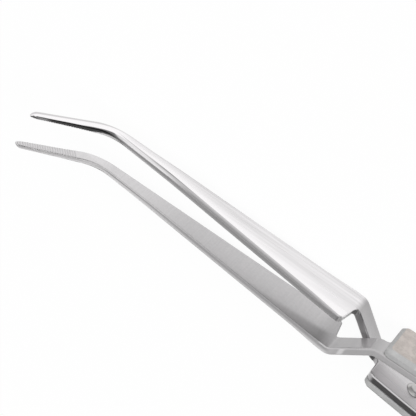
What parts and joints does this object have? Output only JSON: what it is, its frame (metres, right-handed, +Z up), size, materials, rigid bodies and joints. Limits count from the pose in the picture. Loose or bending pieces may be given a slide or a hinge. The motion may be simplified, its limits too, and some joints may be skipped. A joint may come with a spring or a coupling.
{
  "type": "insulated soldering tweezers",
  "caption": "Self-closing crossed-arm soldering tweezers with bent serrated tips and insulating fibre grip plates, shown squeezed open.",
  "frame": {"origin": "under the middle of the tweezers, on the surface they lie on", "axes": "+X from the tips to the welded rear end, +Y the way the jaws open, +Z up, towards the side the tips are bent to"},
  "size_m": [0.1656, 0.0128, 0.0155],
  "materials": {
    "steel_strip": "brushed lengthwise, polished at the tips",
    "fibre_grip": "grey vulcanised fibre, lightly mottled",
    "rivet": "nickel plated, smooth"
  },
  "bodies": {
    "lower_jaw_side": {"lower_jaw_arm": "steel_strip", "upper_grip_plate": "fibre_grip", "upper_grip_front_rivet": "rivet", "upper_grip_rear_rivet": "rivet"},
    "upper_jaw_side": {"upper_jaw_arm": "steel_strip", "lower_grip_plate": "fibre_grip", "lower_grip_front_rivet": "rivet", "lower_grip_rear_rivet": "rivet"}
  },
  "joints": [
    {"name": "arm_flex", "type": "hinge", "parent": "lower_jaw_side", "child": "upper_jaw_side", "pos_m": [0.08283, 0, 0.00475], "axis": [0, 0, 1], "range_deg": [0, 2.32], "stiffness_Nm_per_rad": 3, "springref_deg": 5.16}
  ]
}
